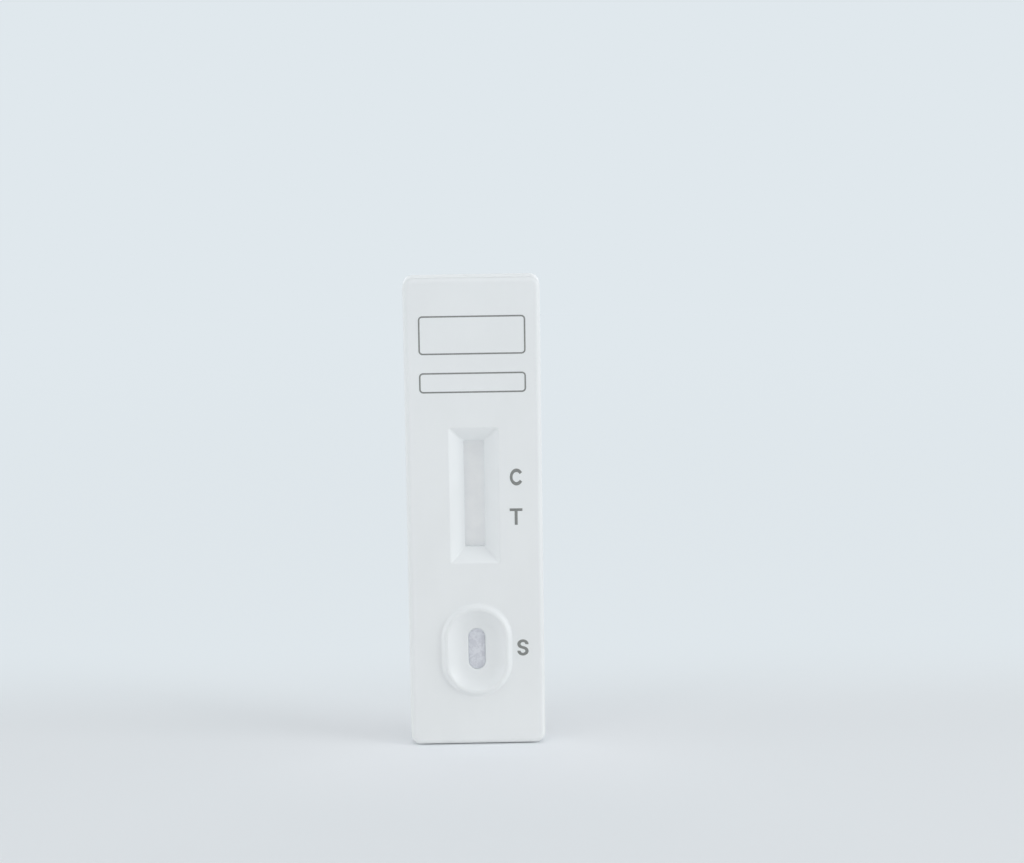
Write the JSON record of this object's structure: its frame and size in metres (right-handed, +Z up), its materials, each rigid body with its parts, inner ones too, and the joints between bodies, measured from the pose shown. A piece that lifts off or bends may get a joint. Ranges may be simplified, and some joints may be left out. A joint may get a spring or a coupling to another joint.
{
  "type": "lateral flow cassette",
  "caption": "Flat white lateral flow cassette: a press-together plastic housing with a bevelled reading window and a raised, dished sample well over a paper test strip.",
  "frame": {"origin": "middle of the box round the part, at the sample end that the part stands on", "axes": "+Z up the length from the sample end to the wick end, +X across the width, and the face with the window and the well looks along -Y"},
  "size_m": [0.02, 0.0056, 0.07],
  "materials": {
    "shell_plastic": "white high-impact polystyrene, fine satin moulded texture",
    "card_plastic": "white vinyl card, smooth",
    "membrane": "white cast nitrocellulose, matt",
    "conjugate_fibre": "glass fibre mat, matt",
    "sample_fibre": "off-white cellulose fibre mat, matt",
    "wick_paper": "thick blotting paper, matt"
  },
  "bodies": {
    "root": {"front_shell": "shell_plastic", "back_shell": "shell_plastic", "backing_card": "card_plastic", "membrane": "membrane", "conjugate_pad": "conjugate_fibre", "sample_pad": "sample_fibre", "absorbent_pad": "wick_paper"}
  },
  "joints": []
}
